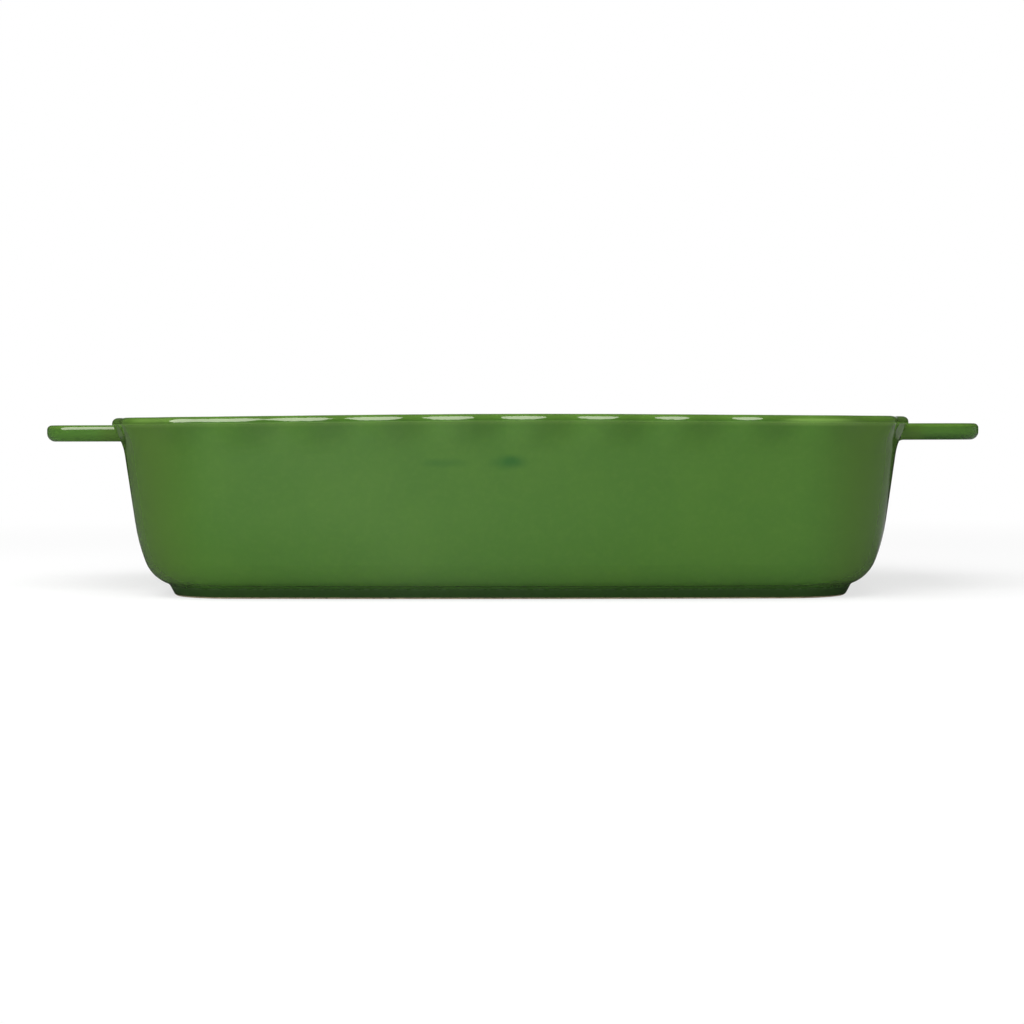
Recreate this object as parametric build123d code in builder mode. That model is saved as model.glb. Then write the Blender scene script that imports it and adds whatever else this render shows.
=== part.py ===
from build123d import *
from math import asin, atan2, cos, degrees, hypot, pi, radians, sin, sqrt, tan
import os

os.makedirs("parts", exist_ok=True)

# Ruffled stoneware lasagna dish. Millimetres, +X along the length, +Z up.
# The origin is the middle of the base, on the surface that the dish stands on.

# Outline of the rim, seen from above, at the middle of the ruffle
rim_length = 346.0
rim_width = 254.0
corner_radius = 53.0
end_bow_radius = 470.0
side_bow_radius = 2500.0

# Rim
dish_height = 76.0
rim_sag = 1.0              # how far the rim's ends lie below the middles of its long sides
sag_start_height = 40.0    # the sag fades in above this height
lip_outer_radius = 2.4
lip_height = 3.3           # from the top down to the crease under the lip
lip_overhang = 0.4         # how far the lip stands out over that crease
lip_underside_turn = 20.0  # degrees that the lip turns under its widest line

# Ruffle round the rim
lobes_per_quarter = 9
ruffle_depth = 2.4         # from a valley out to a crest
ruffle_reach = 12.0        # how far below the lip the ruffle fades out
steps_per_lobe = 8

# Wall
wall = 6.0
wall_draft = 8.3           # degrees from upright
flare_start_height = 60.0
flare_start_inset = 4.25   # from the rim's outline in to the wall, where the flare starts
bend_start_height = 31.0   # below this height the wall bends slowly inwards
bend_radius = 80.0
heel_start_height = 14.5   # and below this one it turns in to the foot
heel_radius = 16.0
floor_height = 8.3
floor_edge_radius = 17.0   # inside, between the wall and the floor

# Foot that the dish stands on
foot_height = 4.9
foot_lean = 28.0           # degrees from upright
foot_edge_radius = 1.8
foot_blend_radius = 2.0
bare_clay_height = 0.6
foot_ring_width = 6.0
base_recess = 1.5
recess_edge_radius = 0.6

# Handles
handle_length = 30.3       # from the rim's outline out to the tip
handle_top_height = 72.1
handle_thickness = 7.1
handle_tip_width = 104.0
handle_root_width = 120.0
handle_corner_radius = 16.0
handle_top_edge_radius = 2.0
handle_lower_edge_radius = 3.6
handle_root_blend = 3.0
handle_root_inset = 4.8    # from the rim's outline in to where the tab starts, inside the wall
root_slice_sink = 0.2      # how far the plain slice of wall lies inside the ruffle's valleys
root_slice_depth = 1.2
root_slice_draw = 0.9      # how far the slice draws in from the crease up to its top
root_slice_gap = 0.3       # how far that top lies below the rim
root_slice_share = 1.15    # how far the slice turns, as a share of the tab's own turn

# Steps along the arcs of the wall's profile
foot_edge_steps = 3
bend_steps = 4
heel_steps = 6
floor_edge_steps = 8
flare_steps = 6
lip_steps = 6

# Centres of the arcs of the rim's outline, in its first quarter
end_centre = rim_length / 2 - end_bow_radius
side_centre = rim_width / 2 - side_bow_radius
end_reach = end_bow_radius - corner_radius
side_reach = side_bow_radius - corner_radius
centre_gap = hypot(end_centre, side_centre)
gap_direction = Vector(end_centre, -side_centre) / centre_gap
along_gap = (side_reach**2 - end_reach**2 + centre_gap**2) / (2 * centre_gap)
across_gap = sqrt(side_reach**2 - along_gap**2)
corner_centre = (
    Vector(0, side_centre)
    + gap_direction * along_gap
    + Vector(gap_direction.Y, -gap_direction.X) * across_gap
)
end_turn = degrees(atan2(corner_centre.Y, corner_centre.X - end_centre))
side_turn = degrees(atan2(corner_centre.Y - side_centre, corner_centre.X))


def quarter_outline(inset):
    """The first quarter of the rim's outline, drawn in by an even inset."""
    with BuildLine() as line:
        CenterArc((end_centre, 0), end_bow_radius - inset, 0, end_turn)
        CenterArc(corner_centre, corner_radius - inset, end_turn, side_turn - end_turn)
        CenterArc((0, side_centre), side_bow_radius - inset, side_turn, 90 - side_turn)
    return line.wires()[0]


def outline_face(inset):
    """The flat shape inside the rim's outline, drawn in by an even inset."""
    with BuildSketch() as shape:
        with BuildLine():
            add(quarter_outline(inset))
            mirror(about=Plane.YZ)
            mirror(about=Plane.XZ)
        make_face()
    return shape.sketch


# Stations round the outline: the place, the way out of the dish there, and the ruffle's wave
rim_line = quarter_outline(0)
steps_per_quarter = lobes_per_quarter * steps_per_lobe
step_length = rim_line.length / steps_per_quarter
stations = []
for step in range(steps_per_quarter + 1):
    travel = step * step_length
    place = rim_line.position_at(travel, PositionMode.LENGTH)
    along = rim_line.tangent_at(travel, PositionMode.LENGTH)
    wave = -cos(2 * pi * step / steps_per_lobe)
    stations.append((place, Vector(along.Y, -along.X), wave))


def fade(height, start, end):
    """Rises smoothly from 0 at one height to 1 at another."""
    share = min(max((height - start) / (end - start), 0), 1)
    return share * share * (3 - 2 * share)


def ruffle_crest(height):
    """How far a crest of the ruffle stands out at a height."""
    return ruffle_depth / 2 * fade(height, crease_height - ruffle_reach, crease_height)


def ring(inset, height):
    """A line round the first quarter of the dish, at an inset from the rim's outline and at a height."""
    crest = ruffle_crest(height)
    sag = rim_sag * fade(height, sag_start_height, dish_height)
    points = []
    for place, way_out, wave in stations:
        drop = sag * sin(pi * place.X / rim_length) ** 2
        points.append(place + way_out * (wave * crest - inset) + Vector(0, 0, height - drop))
    ends = [Vector(0, step_length), Vector(-step_length, 0)]
    return Wire([Edge.make_spline(points, ends, parameters=range(len(points)), scale=False)])


def turn(centre, radius, start, end, steps):
    """Even steps round an arc of the wall's profile, between two angles up from straight out."""
    inset, height = centre
    angles = [start + (end - start) * step / steps for step in range(steps + 1)]
    return [(inset - radius * cos(angle), height + radius * sin(angle)) for angle in angles]


def hollow_turn(centre, radius, start_lean, end_lean, steps):
    """The same for an arc that curves round a centre outside the dish, between two leans."""
    return turn(centre, -radius, -start_lean, -end_lean, steps)


# Profile of the wall from the foot up: each place is an inset from the rim's outline and a height
draft = radians(wall_draft)
crease_height = dish_height - lip_height
flare_rise = crease_height - flare_start_height
flare_run = flare_start_inset - lip_overhang
flare_turn = 2 * (atan2(flare_run, flare_rise) - draft)
flare_radius = hypot(flare_rise, flare_run) / (2 * sin(flare_turn / 2))
flare_centre = (
    flare_start_inset - flare_radius * cos(draft),
    flare_start_height - flare_radius * sin(draft),
)
bend_start_inset = flare_start_inset + (flare_start_height - bend_start_height) * tan(draft)
bend_centre = (
    bend_start_inset + bend_radius * cos(draft),
    bend_start_height + bend_radius * sin(draft),
)
heel_lean = asin((bend_centre[1] - heel_start_height) / bend_radius)
heel_centre = (
    bend_centre[0] - (bend_radius - heel_radius) * cos(heel_lean),
    bend_centre[1] - (bend_radius - heel_radius) * sin(heel_lean),
)
notch_angle = asin((heel_centre[1] - foot_height) / heel_radius)
notch_inset = heel_centre[0] - heel_radius * cos(notch_angle)
foot_slope = radians(foot_lean)
foot_edge_top = foot_edge_radius * (1 - sin(foot_slope))
foot_edge_inset = notch_inset + (foot_height - foot_edge_top) * tan(foot_slope)
foot_edge_centre = (foot_edge_inset + foot_edge_radius * cos(foot_slope), foot_edge_radius)
clay_angle = -asin(1 - bare_clay_height / foot_edge_radius)

# The hollow blend in the notch above the foot touches the foot's slope and the heel
off_slope_inset = notch_inset - foot_blend_radius * cos(foot_slope)
off_slope_height = foot_height - foot_blend_radius * sin(foot_slope)
offset_inset = off_slope_inset - heel_centre[0]
offset_height = off_slope_height - heel_centre[1]
down_slope = offset_inset * sin(foot_slope) - offset_height * cos(foot_slope)
blend_reach = (heel_radius + foot_blend_radius) ** 2 - offset_inset**2 - offset_height**2
slide = sqrt(down_slope**2 + blend_reach) - down_slope
blend_centre = (
    off_slope_inset + slide * sin(foot_slope),
    off_slope_height - slide * cos(foot_slope),
)
blend_angle = atan2(heel_centre[1] - blend_centre[1], heel_centre[0] - blend_centre[0])

# Lines up the outside
lip_centre = (lip_outer_radius, dish_height - lip_outer_radius)
foot_edge = turn(foot_edge_centre, foot_edge_radius, clay_angle, -foot_slope, foot_edge_steps)
foot_blend = hollow_turn(blend_centre, foot_blend_radius, foot_slope, blend_angle, foot_edge_steps)
heel = turn(heel_centre, heel_radius, -blend_angle, -heel_lean, heel_steps)
bend = turn(bend_centre, bend_radius, -heel_lean, -draft, bend_steps)
flare = hollow_turn(flare_centre, flare_radius, draft, draft + flare_turn, flare_steps)
outer_lip = turn(lip_centre, lip_outer_radius, -radians(lip_underside_turn), pi / 2, lip_steps)

# The inner face lies one wall inside the outer one, up to the arc that rounds the lip's inner edge
inner_flare_radius = flare_radius + wall
lip_run = lip_outer_radius - flare_centre[0]
lip_rise = dish_height - flare_centre[1]
lip_gap = inner_flare_radius**2 - lip_run**2 - lip_rise**2
lip_inner_radius = lip_gap / (2 * (inner_flare_radius - lip_rise))
inner_lip_centre = (lip_outer_radius, dish_height - lip_inner_radius)
inner_lean = atan2(lip_rise - lip_inner_radius, lip_run)
floor_edge_height = floor_height + floor_edge_radius
inner_run = (flare_start_height - floor_edge_height) * tan(draft)
floor_edge_inset = flare_start_inset + inner_run + (wall + floor_edge_radius) / cos(draft)
floor_edge_centre = (floor_edge_inset, floor_edge_height)
inner_lip = turn(inner_lip_centre, lip_inner_radius, pi / 2, pi - inner_lean, lip_steps)
inner_flare = hollow_turn(flare_centre, inner_flare_radius, inner_lean, draft, flare_steps)
floor_edge = turn(floor_edge_centre, floor_edge_radius, -draft, -pi / 2, floor_edge_steps)

# Skin of the dish: one face for each stretch of the profile and each quarter, and two flat ones
bands = [
    foot_edge,
    [foot_edge[-1], foot_blend[0]],
    foot_blend,
    heel,
    bend,
    [bend[-1], flare[0]],
    flare,
    [flare[-1]] + outer_lip,
    inner_lip,
    inner_flare,
    [inner_flare[-1], floor_edge[0]],
    floor_edge,
]
quarter_skin = []
for band in bands:
    quarter_skin += Shell.make_loft([ring(inset, height) for inset, height in band]).faces()
half_skin = quarter_skin + [face.mirror(Plane.YZ) for face in quarter_skin]
skin = half_skin + [face.mirror(Plane.XZ) for face in half_skin]
for inset, height in (bands[0][0], bands[-1][-1]):
    quarter = ring(inset, height).edge()
    half = [quarter, quarter.mirror(Plane.YZ)]
    skin.append(Face(Wire(half + [edge.mirror(Plane.XZ) for edge in half])))

# Dish: floor, walls and ruffled lip in one, with a shallow recess under the floor
ring_inner_inset = foot_edge_centre[0] + foot_ring_width
with BuildPart() as dish:
    add(Solid(Shell(skin)))
    with BuildSketch():
        add(outline_face(ring_inner_inset))
    extrude(amount=base_recess, mode=Mode.SUBTRACT)
    recess_roof = dish.faces().filter_by(Axis.Z).filter_by_position(Axis.Z, base_recess, base_recess)
    fillet(recess_roof.edges(), recess_edge_radius)
dish.part.label = "dish"
export_step(dish.part, "parts/dish.step")

# Standing ring: the bare clay that the dish stands on, which the glaze leaves free
with BuildPart() as foot_ring:
    for inset, height in turn(foot_edge_centre, foot_edge_radius, -pi / 2, clay_angle, foot_edge_steps):
        with BuildSketch(Plane.XY.offset(height)):
            add(outline_face(inset))
    loft(ruled=True)
    with BuildSketch():
        add(outline_face(ring_inner_inset))
    extrude(amount=bare_clay_height, mode=Mode.SUBTRACT)
foot_ring.part.label = "foot_ring"
export_step(foot_ring.part, "parts/foot_ring.step")

# Handles: a flat tab at each end that grows out of the wall just below the lip. The tab is first
# joined to a plain slice of the end wall and blended into it all round. That is done round the
# centre of the end's bow. Then the tab goes to its place and is cut back by the dish.
handle_reach = end_bow_radius + handle_length
handle_underside = handle_top_height - handle_thickness
root_arc_radius = end_bow_radius - handle_root_inset
root_turn = degrees(asin(handle_root_width / (2 * root_arc_radius)))
slice_turn = root_turn * root_slice_share
slice_outer = [
    (
        end_bow_radius - inset - ruffle_crest(height) - root_slice_sink,
        height - rim_sag * fade(height, sag_start_height, dish_height),
    )
    for inset, height in flare[::2]
]
slice_rise = lip_height - root_slice_gap
slice_outer.append((slice_outer[-1][0] - root_slice_draw, slice_outer[-1][1] + slice_rise))
slice_tangents = [(sin(draft), cos(draft)), (-root_slice_draw, slice_rise)]
slice_inner = [(radius - root_slice_depth, height) for radius, height in slice_outer]
slice_way = Vector(cos(radians(slice_turn)), -sin(radians(slice_turn)))
slice_plane = Plane((0, 0, 0), x_dir=slice_way, z_dir=(slice_way.Y, -slice_way.X, 0))
with BuildPart() as tab:
    with BuildSketch(Plane.XY.offset(handle_underside)):
        with BuildLine():
            root = CenterArc((0, 0), root_arc_radius, -root_turn, 2 * root_turn)
            Polyline(
                root @ 1,
                (handle_reach, handle_tip_width / 2),
                (handle_reach, -handle_tip_width / 2),
                root @ 0,
            )
        tab_outline = make_face()
        fillet(tab_outline.vertices().sort_by(Axis.X)[-2:], handle_corner_radius)
    extrude(amount=handle_thickness)
    top_edges = tab.faces().sort_by(Axis.Z)[-1].edges().sort_by(Axis.X)[1:]
    fillet(top_edges, handle_top_edge_radius)
    lower_edges = tab.faces().sort_by(Axis.Z)[0].edges().sort_by(Axis.X)[1:]
    fillet(lower_edges, handle_lower_edge_radius)
    with BuildSketch(slice_plane):
        with BuildLine():
            outer = Spline(slice_outer, tangents=slice_tangents)
            inner = Spline(slice_inner, tangents=slice_tangents)
            Line(outer @ 0, inner @ 0)
            Line(outer @ 1, inner @ 1)
        make_face()
    revolve(axis=Axis.Z, revolution_arc=2 * slice_turn)
    wall_face = [face for face in tab.faces() if face.inner_wires()][0]
    fillet(wall_face.inner_wires()[0].edges(), handle_root_blend)

with BuildPart() as fitted_tab:
    with Locations((end_centre, 0)):
        add(tab.part)
    add(dish.part, mode=Mode.SUBTRACT)
tab_solid = fitted_tab.solids().sort_by(SortBy.VOLUME)[-1]

with BuildPart() as right_handle:
    add(tab_solid)
right_handle.part.label = "right_handle"
export_step(right_handle.part, "parts/right_handle.step")

with BuildPart() as left_handle:
    add(tab_solid.mirror(Plane.YZ))
left_handle.part.label = "left_handle"
export_step(left_handle.part, "parts/left_handle.step")
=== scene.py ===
import math

import bpy
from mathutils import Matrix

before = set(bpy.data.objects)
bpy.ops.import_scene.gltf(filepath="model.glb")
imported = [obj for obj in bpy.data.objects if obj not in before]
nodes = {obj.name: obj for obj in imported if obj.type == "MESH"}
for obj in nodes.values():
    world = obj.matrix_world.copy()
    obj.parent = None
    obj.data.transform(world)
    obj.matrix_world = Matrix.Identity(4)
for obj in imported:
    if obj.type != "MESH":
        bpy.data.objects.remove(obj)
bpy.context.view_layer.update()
scene = bpy.context.scene
scene.view_settings.view_transform = "Standard"

# Camera: level, just under the height of the rim, and nearly square on to a long side, as in the
# photograph
DISH_TURN = math.radians(1.356)
CAMERA_DISTANCE = 1.095
CAMERA_HEIGHT = 0.0682
CAMERA_ROLL = math.radians(-0.133)
LENS = 84.94
SENSOR_WIDTH = 36
SHIFT_ACROSS = -0.0009
SHIFT_UP = -0.0769
CLIP_START = 0.05

# Softbox: an oval one above the front left. It is seen only in the glaze, as the bright
# streaks along the lip, and its right end is what cuts them off between the lobes.
SOFTBOX_SIZE = (2.0, 1.25)
SOFTBOX_PLACE = (-0.88, -0.73, 0.76)
SOFTBOX_TURN = (math.radians(45), 0, 0)
SOFTBOX_RADIANCE = 6.3
SOFTBOX_COLOUR = (1.0, 0.95, 0.89)

# Key: a broad lamp above the front that shades the form and has no reflection of its own
KEY_SIZE = (1.2, 1.2)
KEY_PLACE = (-0.26, -0.6, 0.9)
KEY_TURN = (math.radians(35), 0, 0)
KEY_RADIANCE = 3.1

# The even light of the room, and the floor. It is white paper to the camera, and over the reach,
# a pair of distances from the middle, a glow turns it to pure white.
ROOM_LEVEL = 0.5
FLOOR_SIZE = 20
FLOOR_BOUNCE = 0.95
FLOOR_PAPER = 0.95
FLOOR_GLOW = (0.7, 1.0)
FLOOR_GLOW_REACH = (0.25, 0.9)

# What the glaze mirrors all round, as (degrees from straight behind the dish, to the left if
# negative; level). Behind it a white backdrop stands between two dark flags, which fade into the
# levels beside them, and the front is brighter on the left than on the right.
FLAG_LEVEL = 0.02
FLAG_FADE = 8
BESIDE_FLAGS = (0.12, 0.28)
LEFT_STOPS = ((-180, 0.25), (-162, 0.32), (-130, 0.15))
BACKDROP_STOPS = ((-15, FLAG_LEVEL), (-10, 0.9), (10, 0.9), (15, FLAG_LEVEL))
RIGHT_STOPS = ((90, 0.2), (158, 0.18), (180, 0.25))
# How far round the two flags reach: on the floor near the dish, and in the room and on the far
# floor. The reach is where the near floor passes into the far one.
NEAR_FLAGS = (-24, 24)
FAR_FLAGS = (-37, 44)
FAR_REACH = (0.55, 0.85)
# How far up these levels reach in the room: (degrees above level, share), and the level above them
HEIGHT_STOPS = ((0, 1.0), (6, 1.0), (14, 0.0), (90, 0.0))
CEILING_LEVEL = 0.05

# Glaze: its usual green, and what it turns to where it drifts and runs thin, with painted sheen, painted
# shade and darker spots
GLAZE_GREEN = (0.056, 0.143, 0.018, 1)
GLAZE_POOL = (0.043, 0.124, 0.016, 1)
GLAZE_THIN_AND_SHEEN = (0.084, 0.176, 0.026, 1)
GLAZE_SHEEN_STRAW = (0.15, 0.275, 0.056, 1)
GLAZE_END_SHADE = (0.058, 0.122, 0.0158, 1)
GLAZE_PAINTED_SHADE = (0.022, 0.068, 0.009, 1)
GLAZE_DARK_SPOT = (0.024, 0.100, 0.014, 1)
GLAZE_IOR = 1.6

# Its slow drift and its fine mottle. A noise is given as (scale, detail), with the span of its
# levels over which the share grows.
DRIFT_NOISE = (32, 3)
DRIFT_SPAN = (0.35, 0.6)
DRIFT_SHARE = 0.35
MOTTLE_NOISE = (420, 4)
MOTTLE_SPAN = (0.4, 0.8)
MOTTLE_SHARE = 0.2

# The lip sinks a little towards the ends of the dish. The heights for the lip, the crease under it and
# the patches of painted sheen are those at the middle of the dish, and the colours follow the lip down.
# Over the lip the green is paler, as thin glaze and as painted light, and the crease has a line of
# painted shade.
RIM_LENGTH = 0.346
RIM_SAG = 0.001
LIP_HEIGHTS = (0.0732, 0.0755)
LIP_SHARE = 0.8
CREASE_HEIGHT = 0.0736
CREASE_WIDTH = 0.0006
CREASE_SHADE_SHARE = 0.12

# Painted sheen and highlights, in a pale straw green: just under the lip all along, more so to the
# right, and on the lip near both ends. Each patch has its start and its end along the dish, its start
# and its end upward, and a share. A start or an end is a pair of places that the patch fades between.
SHEEN_PATCHES = (
    ((-0.180, -0.173), (0.173, 0.180), (0.0713, 0.0730), (0.0731, 0.0736), 0.33),
    ((0.100, 0.118), (0.136, 0.150), (0.0713, 0.0730), (0.0731, 0.0740), 0.38),
    ((0.108, 0.118), (0.132, 0.146), (0.0731, 0.0740), (0.0742, 0.0750), 0.85),
    ((-0.156, -0.150), (-0.138, -0.126), (0.0734, 0.0744), (0.0749, 0.0758), 0.45),
)

# Painted shade: towards the rounded ends of the body the green darkens to olive, but not past them, on
# the handles. A reach is a pair of distances from the middle along the dish.
END_SHADE_REACH = (0.120, 0.148)
END_SHADE_SHARE = 0.8
HANDLE_REACH = (0.173, 0.180)

# The handles: thin glaze and painted sheen along the top edge, up to a width to either side of its
# height, and painted shade on the lower edge of the right one
EDGE_HEIGHT = 0.0713
EDGE_WIDTH = 0.0011
UNDERSIDE_SHADE_HEIGHTS = (0.0684, 0.0656)
UNDERSIDE_SHADE_SHARE = 0.75

# Under the lip, painted shade on one flank of each lobe of the ruffle and painted light on the other, as
# a wave along the long sides that fades out below and towards the ends
LOBE_PITCH = 0.02987
FLANK_PHASE = math.radians(-223)
FLANK_STRENGTH = 0.085
FLANK_HEIGHTS = (0.062, 0.0715)
FLANK_REACH = (0.15, 0.12)

# In the notch above the foot, painted shade darkens the green and the glaze is duller: the heights, the
# share of the painted shade and the roughness added there
NOTCH_HEIGHTS = (0.0078, 0.0028)
NOTCH_SHADE_SHARE = 0.87
NOTCH_ROUGHNESS = 0.3

# Two darker spots near the rim on the front: (centre, half size, strength). The edge is in half sizes,
# and a noise makes it uneven.
DARK_SPOTS = (
    ((0.0018, -0.122, 0.0566), (0.0058, 0.03, 0.0026), 1.0),
    ((-0.0252, -0.122, 0.0562), (0.0072, 0.03, 0.0016), 0.45),
)
SPOT_EDGE = (1.6, 0.2)
SPOT_NOISE = (160, 2)
NOISE_MIDDLE = (0.5, 0.5, 0.5)

# The surface of the glaze: slow waves with a faint orange peel, and its roughness by the mottle
WAVE_NOISE = (32, 1)
PEEL_NOISE = (230, 2)
PEEL_SHARE = 0.025
WAVE_HEIGHT = 0.00015
GLOSS_SPAN = (0.3, 0.7)
GLAZE_ROUGHNESS = (0.04, 0.075)

# Bare clay: two tones in clouds, dark grains, and grit that makes it rough
CLAY_PALE = (0.68, 0.58, 0.40, 1)
CLAY_DARK = (0.55, 0.46, 0.31, 1)
CLAY_GRAIN = (0.22, 0.15, 0.09, 1)
CLOUD_NOISE = (260, 5)
CLOUD_SPAN = (0.35, 0.65)
GRAIN_SCALE = 520
GRAIN_EDGE = (0.28, 0.16)
GRAIN_SHARE = 0.6
GRIT_NOISE = (1600, 3)
GRIT_SPAN = (0.3, 0.7)
GRIT_STRENGTH = 0.6
GRIT_HEIGHT = 0.0001
CLAY_ROUGHNESS = (0.78, 0.95)


def grey(level):
    """A grey as a shader colour."""
    return (level, level, level, 1)


def set_input(tree, socket, value):
    """Link a socket to another one, or set it to a value."""
    if isinstance(value, bpy.types.NodeSocket):
        tree.links.new(value, socket)
    else:
        socket.default_value = value


def add_node(tree, kind, inputs=None, **settings):
    """Add a shader node. Each of its inputs is given as a value or as the socket it links to."""
    node = tree.nodes.new(kind)
    for name, value in settings.items():
        setattr(node, name, value)
    for name, value in (inputs or {}).items():
        set_input(tree, node.inputs[name], value)
    return node


def calculate(tree, operation, *values):
    """The result of a math node."""
    node = add_node(tree, "ShaderNodeMath", dict(enumerate(values)), operation=operation)
    return node.outputs["Value"]


def multiply(tree, *values):
    """The product of several values."""
    product = values[0]
    for value in values[1:]:
        product = calculate(tree, "MULTIPLY", product, value)
    return product


def distance_from(tree, value, middle):
    """How far a value lies from a middle one, to either side."""
    return calculate(tree, "ABSOLUTE", calculate(tree, "SUBTRACT", value, middle))


def map_values(tree, value, source, target=(0, 1)):
    """A value's smooth passage from one range to another."""
    inputs = {
        "Value": value,
        "From Min": source[0],
        "From Max": source[1],
        "To Min": target[0],
        "To Max": target[1],
    }
    node = add_node(tree, "ShaderNodeMapRange", inputs, interpolation_type="SMOOTHSTEP")
    return node.outputs["Result"]


def mix_colours(tree, share, first, second):
    """A mix of two colours."""
    node = add_node(tree, "ShaderNodeMix", {0: share, 6: first, 7: second}, data_type="RGBA")
    return node.outputs[2]


def mix_shaders(tree, share, first, second):
    """A mix of two shaders."""
    inputs = {0: share, 1: first.outputs[0], 2: second.outputs[0]}
    return add_node(tree, "ShaderNodeMixShader", inputs)


def split_vector(tree, vector):
    """The three parts of a vector."""
    return add_node(tree, "ShaderNodeSeparateXYZ", {"Vector": vector}).outputs


def vector_length(tree, vector):
    """The length of a vector."""
    node = add_node(tree, "ShaderNodeVectorMath", {0: vector}, operation="LENGTH")
    return node.outputs["Value"]


def add_noise(tree, vector, noise, output="Fac"):
    """A noise texture, given as (scale, detail)."""
    inputs = {"Vector": vector, "Scale": noise[0], "Detail": noise[1]}
    return add_node(tree, "ShaderNodeTexNoise", inputs).outputs[output]


def add_ramp(tree, share, stops, full):
    """A ramp with a grey level at each stop. The stops run from 0 to full."""
    ramp = add_node(tree, "ShaderNodeValToRGB", {"Fac": share})
    elements = ramp.color_ramp.elements
    while len(elements) < len(stops):
        elements.new(0.5)
    for element, (place, level) in zip(elements, stops):
        element.position = place / full
        element.color = grey(level)
    return ramp.outputs["Color"]


def clear_tree(block):
    """The empty node tree of a world or a material."""
    block.use_nodes = True
    block.node_tree.nodes.clear()
    return block.node_tree


def object_vector(tree, **mapping):
    """The place on an object, through a mapping node."""
    place = add_node(tree, "ShaderNodeTexCoord").outputs["Object"]
    return add_node(tree, "ShaderNodeMapping", {"Vector": place}, **mapping)


def set_up_camera():
    """The camera, with the lens and the slight roll of the photograph."""
    data = bpy.data.cameras.new("camera")
    data.lens = LENS
    data.sensor_width = SENSOR_WIDTH
    data.shift_x = SHIFT_ACROSS
    data.shift_y = SHIFT_UP
    data.clip_start = CLIP_START
    camera = bpy.data.objects.new("camera", data)
    scene.collection.objects.link(camera)
    camera.location = (
        CAMERA_DISTANCE * math.sin(DISH_TURN),
        -CAMERA_DISTANCE * math.cos(DISH_TURN),
        CAMERA_HEIGHT,
    )
    camera.rotation_euler = (math.radians(90), 0, DISH_TURN)
    camera.rotation_euler.rotate_axis("Z", CAMERA_ROLL)
    scene.camera = camera


def add_lamp(name, shape, size, place, turn, radiance):
    """A flat lamp that the camera doesn't see. Its power follows from its area and radiance."""
    data = bpy.data.lights.new(name, "AREA")
    data.shape = shape
    data.size, data.size_y = size
    fill = math.pi / 4 if shape == "ELLIPSE" else 1
    data.energy = radiance * math.pi * size[0] * size[1] * fill
    lamp = bpy.data.objects.new(name, data)
    scene.collection.objects.link(lamp)
    lamp.location = place
    lamp.rotation_euler = turn
    lamp.visible_camera = False
    return lamp


def set_up_lamps():
    """The softbox for the highlights and the key for the shading."""
    softbox = add_lamp(
        "softbox", "ELLIPSE", SOFTBOX_SIZE, SOFTBOX_PLACE, SOFTBOX_TURN, SOFTBOX_RADIANCE
    )
    softbox.data.color = SOFTBOX_COLOUR
    softbox.visible_diffuse = False
    key = add_lamp("key", "RECTANGLE", KEY_SIZE, KEY_PLACE, KEY_TURN, KEY_RADIANCE)
    key.visible_glossy = False


def add_mirror_levels(tree, vector, flags):
    """The level that the glaze mirrors in a direction, or at a place on the floor."""
    left, right = flags
    stops = (
        *LEFT_STOPS,
        (left - FLAG_FADE, BESIDE_FLAGS[0]),
        (left, FLAG_LEVEL),
        *BACKDROP_STOPS,
        (right, FLAG_LEVEL),
        (right + FLAG_FADE, BESIDE_FLAGS[1]),
        *RIGHT_STOPS,
    )
    parts = split_vector(tree, vector)
    angle = calculate(tree, "ARCTAN2", parts["X"], parts["Y"])
    share = calculate(tree, "MULTIPLY_ADD", angle, 0.5 / math.pi, 0.5)
    return add_ramp(tree, share, [(degrees + 180, level) for degrees, level in stops], 360)


def set_up_room():
    """The world: white to the camera, even light, and a white backdrop between flags in the glaze."""
    scene.world = bpy.data.worlds.new("room")
    tree = clear_tree(scene.world)
    direction = add_node(tree, "ShaderNodeTexCoord").outputs["Generated"]
    around = add_mirror_levels(tree, direction, FAR_FLAGS)
    height = calculate(tree, "ARCSINE", split_vector(tree, direction)["Z"])
    height_share = calculate(tree, "DIVIDE", calculate(tree, "MAXIMUM", height, 0), math.pi / 2)
    upward = add_ramp(tree, height_share, HEIGHT_STOPS, 90)
    level = mix_colours(tree, upward, grey(CEILING_LEVEL), around)

    even = add_node(tree, "ShaderNodeBackground", {"Color": grey(1), "Strength": ROOM_LEVEL})
    mirrored = add_node(tree, "ShaderNodeBackground", {"Color": level})
    seen = add_node(tree, "ShaderNodeBackground", {"Color": grey(1)})
    path = add_node(tree, "ShaderNodeLightPath").outputs
    unseen = mix_shaders(tree, path["Is Glossy Ray"], even, mirrored)
    shown = mix_shaders(tree, path["Is Camera Ray"], unseen, seen)
    add_node(tree, "ShaderNodeOutputWorld", {"Surface": shown.outputs[0]})


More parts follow.
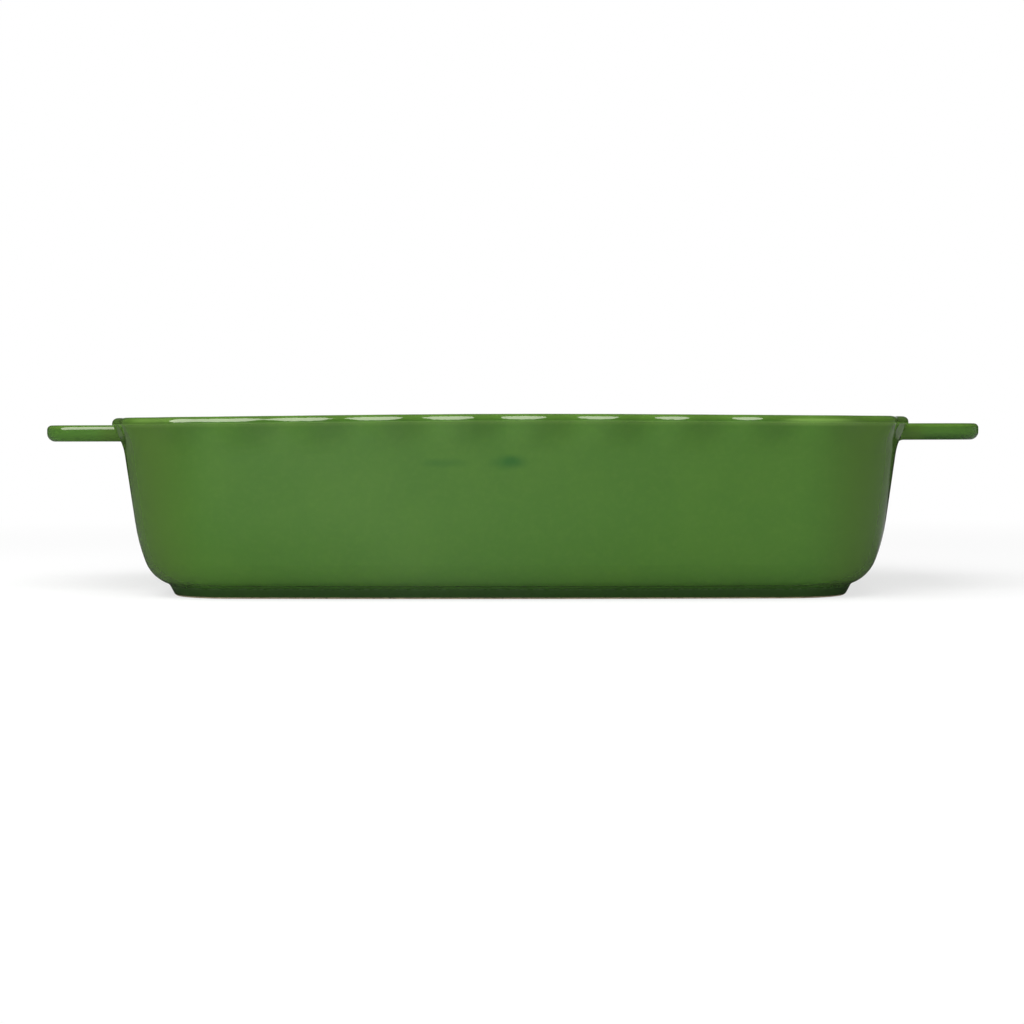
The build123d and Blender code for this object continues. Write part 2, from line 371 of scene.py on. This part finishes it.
def set_up_floor():
    """A plain white floor, which keeps the soft shadow of the dish."""
    bpy.ops.object.select_all(action="DESELECT")
    bpy.ops.mesh.primitive_plane_add(size=FLOOR_SIZE, location=(0, 0, 0))
    floor = bpy.context.object
    floor.name = "floor"

    paper = bpy.data.materials.new("white paper")
    tree = clear_tree(paper)
    vector = object_vector(tree).outputs["Vector"]
    path = add_node(tree, "ShaderNodeLightPath").outputs
    distance = vector_length(tree, vector)
    near = add_mirror_levels(tree, vector, NEAR_FLAGS)
    far = add_mirror_levels(tree, vector, FAR_FLAGS)
    mirrored = mix_colours(tree, map_values(tree, distance, FAR_REACH), near, far)
    unseen = mix_colours(tree, path["Is Glossy Ray"], grey(FLOOR_BOUNCE), mirrored)
    tone = mix_colours(tree, path["Is Camera Ray"], unseen, grey(FLOOR_PAPER))
    lit = add_node(tree, "ShaderNodeBsdfDiffuse", {"Color": tone})
    glow = add_node(tree, "ShaderNodeEmission", {"Color": grey(1), "Strength": 1})
    glow_share = map_values(tree, distance, FLOOR_GLOW_REACH, FLOOR_GLOW)
    surface = mix_shaders(tree, multiply(tree, path["Is Camera Ray"], glow_share), lit, glow)
    add_node(tree, "ShaderNodeOutputMaterial", {"Surface": surface.outputs[0]})
    floor.data.materials.append(paper)


def follow_lip(tree, along, height):
    """The height at which a place would lie if the lip didn't sink towards the ends."""
    swing = calculate(tree, "SINE", multiply(tree, along, math.pi / RIM_LENGTH))
    return calculate(tree, "ADD", height, multiply(tree, swing, swing, RIM_SAG))


def colour_body(tree, drift, mottle, off_middle):
    """The green of the body: slow drift, a finer mottle, and painted shade, a darker olive towards the
    ends.
    """
    drift_share = map_values(tree, drift, DRIFT_SPAN, (0, DRIFT_SHARE))
    colour = mix_colours(tree, drift_share, GLAZE_GREEN, GLAZE_POOL)
    mottle_share = map_values(tree, mottle, MOTTLE_SPAN, (0, MOTTLE_SHARE))
    colour = mix_colours(tree, mottle_share, colour, GLAZE_THIN_AND_SHEEN)
    # Painted shade: darker olive green towards the ends of the body
    end_shade_share = multiply(
        tree,
        map_values(tree, off_middle, END_SHADE_REACH),
        map_values(tree, off_middle, HANDLE_REACH, (END_SHADE_SHARE, 0)),
    )
    return mix_colours(tree, end_shade_share, colour, GLAZE_END_SHADE)


def colour_lip(tree, colour, along, lip_height):
    """Thin glaze and painted light over the lip, painted sheen in patches at and under it, and a painted
    shade line in the crease under it.
    """
    # Over the lip the green turns paler: thin glaze, and painted light where the lip faces up
    lip_share = map_values(tree, lip_height, LIP_HEIGHTS, (0, LIP_SHARE))
    colour = mix_colours(tree, lip_share, colour, GLAZE_THIN_AND_SHEEN)
    # Painted shade: a darker line in the crease under the lip
    off_crease = distance_from(tree, lip_height, CREASE_HEIGHT)
    crease_shade_share = map_values(tree, off_crease, (CREASE_WIDTH, 0), (0, CREASE_SHADE_SHARE))
    colour = mix_colours(tree, crease_shade_share, colour, GLAZE_PAINTED_SHADE)
    # Painted sheen and highlights in patches at and under the lip
    for along_start, along_end, up_start, up_end, strength in SHEEN_PATCHES:
        sheen_share = multiply(
            tree,
            map_values(tree, along, along_start, (0, strength)),
            map_values(tree, along, along_end, (1, 0)),
            map_values(tree, lip_height, up_start),
            map_values(tree, lip_height, up_end, (1, 0)),
        )
        colour = mix_colours(tree, sheen_share, colour, GLAZE_SHEEN_STRAW)
    return colour


def colour_handles(tree, colour, along, off_middle, height):
    """Thin glaze and painted sheen along the top edge of both handles, and painted shade at the lower
    edge of the right one.
    """
    # Thin glaze and painted sheen along the top edge
    edge_share = multiply(
        tree,
        map_values(tree, distance_from(tree, height, EDGE_HEIGHT), (EDGE_WIDTH, 0)),
        map_values(tree, off_middle, HANDLE_REACH),
    )
    colour = mix_colours(tree, edge_share, colour, GLAZE_THIN_AND_SHEEN)
    # Painted shade on the lower edge of the right handle
    underside_shade_share = multiply(
        tree,
        map_values(tree, height, UNDERSIDE_SHADE_HEIGHTS, (0, UNDERSIDE_SHADE_SHARE)),
        map_values(tree, along, HANDLE_REACH),
    )
    return mix_colours(tree, underside_shade_share, colour, GLAZE_PAINTED_SHADE)


def shade_flanks(tree, colour, along, off_middle, height):
    """Painted shade on one flank of each lobe and painted light on the other."""
    turn = calculate(tree, "MULTIPLY_ADD", along, 2 * math.pi / LOBE_PITCH, FLANK_PHASE)
    flank_share = multiply(
        tree,
        map_values(tree, height, FLANK_HEIGHTS, (0, -FLANK_STRENGTH)),
        map_values(tree, off_middle, FLANK_REACH),
    )
    level = calculate(tree, "MULTIPLY_ADD", calculate(tree, "COSINE", turn), flank_share, 1)
    shaded = add_node(tree, "ShaderNodeVectorMath", {0: colour, "Scale": level}, operation="SCALE")
    return shaded.outputs["Vector"]


def add_dark_spots(tree, colour, vector):
    """Soft darker spots, with uneven edges."""
    swirl = add_noise(tree, vector, SPOT_NOISE, "Color")
    warp = add_node(tree, "ShaderNodeVectorMath", {0: swirl, 1: NOISE_MIDDLE}, operation="SUBTRACT")
    for centre, half_size, strength in DARK_SPOTS:
        spot = object_vector(tree, vector_type="TEXTURE")
        spot.inputs["Location"].default_value = centre
        spot.inputs["Scale"].default_value = half_size
        inputs = {0: spot.outputs["Vector"], 1: warp.outputs["Vector"]}
        moved = add_node(tree, "ShaderNodeVectorMath", inputs, operation="ADD")
        reach = vector_length(tree, moved.outputs["Vector"])
        share = map_values(tree, reach, SPOT_EDGE, (0, strength))
        colour = mix_colours(tree, share, colour, GLAZE_DARK_SPOT)
    return colour


def make_glaze():
    """Glossy green glaze: thin at the lip, with painted light and sheen at the lip and the handles, and
    painted shade on the flanks of the lobes, the ends, the crease and above the foot.
    """
    glaze = bpy.data.materials.new("green glaze")
    tree = clear_tree(glaze)
    vector = object_vector(tree).outputs["Vector"]
    drift = add_noise(tree, vector, DRIFT_NOISE)
    mottle = add_noise(tree, vector, MOTTLE_NOISE)
    parts = split_vector(tree, vector)
    along = parts["X"]
    height = parts["Z"]
    off_middle = calculate(tree, "ABSOLUTE", along)

    colour = colour_body(tree, drift, mottle, off_middle)
    colour = colour_lip(tree, colour, along, follow_lip(tree, along, height))
    colour = colour_handles(tree, colour, along, off_middle, height)
    colour = shade_flanks(tree, colour, along, off_middle, height)
    # Painted shade: darker green in the notch above the foot, which is also made rougher
    shaded_notch_share = map_values(tree, height, NOTCH_HEIGHTS, (0, NOTCH_SHADE_SHARE))
    colour = mix_colours(tree, shaded_notch_share, colour, GLAZE_PAINTED_SHADE)
    colour = add_dark_spots(tree, colour, vector)

    peel = multiply(tree, add_noise(tree, vector, PEEL_NOISE), PEEL_SHARE)
    waves = calculate(tree, "ADD", add_noise(tree, vector, WAVE_NOISE), peel)
    bump = add_node(tree, "ShaderNodeBump", {"Height": waves, "Strength": 1, "Distance": WAVE_HEIGHT})
    gloss = map_values(tree, mottle, GLOSS_SPAN, GLAZE_ROUGHNESS)
    roughness = calculate(tree, "MULTIPLY_ADD", shaded_notch_share, NOTCH_ROUGHNESS, gloss)
    surface = add_node(
        tree,
        "ShaderNodeBsdfPrincipled",
        {
            "Base Color": colour,
            "Roughness": roughness,
            "IOR": GLAZE_IOR,
            "Normal": bump.outputs["Normal"],
        },
    )
    add_node(tree, "ShaderNodeOutputMaterial", {"Surface": surface.outputs[0]})
    return glaze


def make_clay():
    """Bare stoneware under the foot: two tones, dark grains and a rough surface."""
    clay = bpy.data.materials.new("bare clay")
    tree = clear_tree(clay)
    vector = object_vector(tree).outputs["Vector"]
    cloud = add_noise(tree, vector, CLOUD_NOISE)
    grit = add_noise(tree, vector, GRIT_NOISE)
    grains = add_node(tree, "ShaderNodeTexVoronoi", {"Vector": vector, "Scale": GRAIN_SCALE})
    colour = mix_colours(tree, map_values(tree, cloud, CLOUD_SPAN), CLAY_PALE, CLAY_DARK)
    grain_share = map_values(tree, grains.outputs["Distance"], GRAIN_EDGE, (0, GRAIN_SHARE))
    colour = mix_colours(tree, grain_share, colour, CLAY_GRAIN)
    bump = add_node(
        tree,
        "ShaderNodeBump",
        {"Height": grit, "Strength": GRIT_STRENGTH, "Distance": GRIT_HEIGHT},
    )
    roughness = map_values(tree, grit, GRIT_SPAN, CLAY_ROUGHNESS)
    surface = add_node(
        tree,
        "ShaderNodeBsdfPrincipled",
        {"Base Color": colour, "Roughness": roughness, "Normal": bump.outputs["Normal"]},
    )
    add_node(tree, "ShaderNodeOutputMaterial", {"Surface": surface.outputs[0]})
    return clay


set_up_camera()
set_up_lamps()
set_up_room()
set_up_floor()

# The solids have the dish's full shape, so they stay, and get their finish here
glaze = make_glaze()
clay = make_clay()
finishes = {"dish": glaze, "left_handle": glaze, "right_handle": glaze, "foot_ring": clay}
for name, finish in finishes.items():
    nodes[name].data.materials.clear()
    nodes[name].data.materials.append(finish)
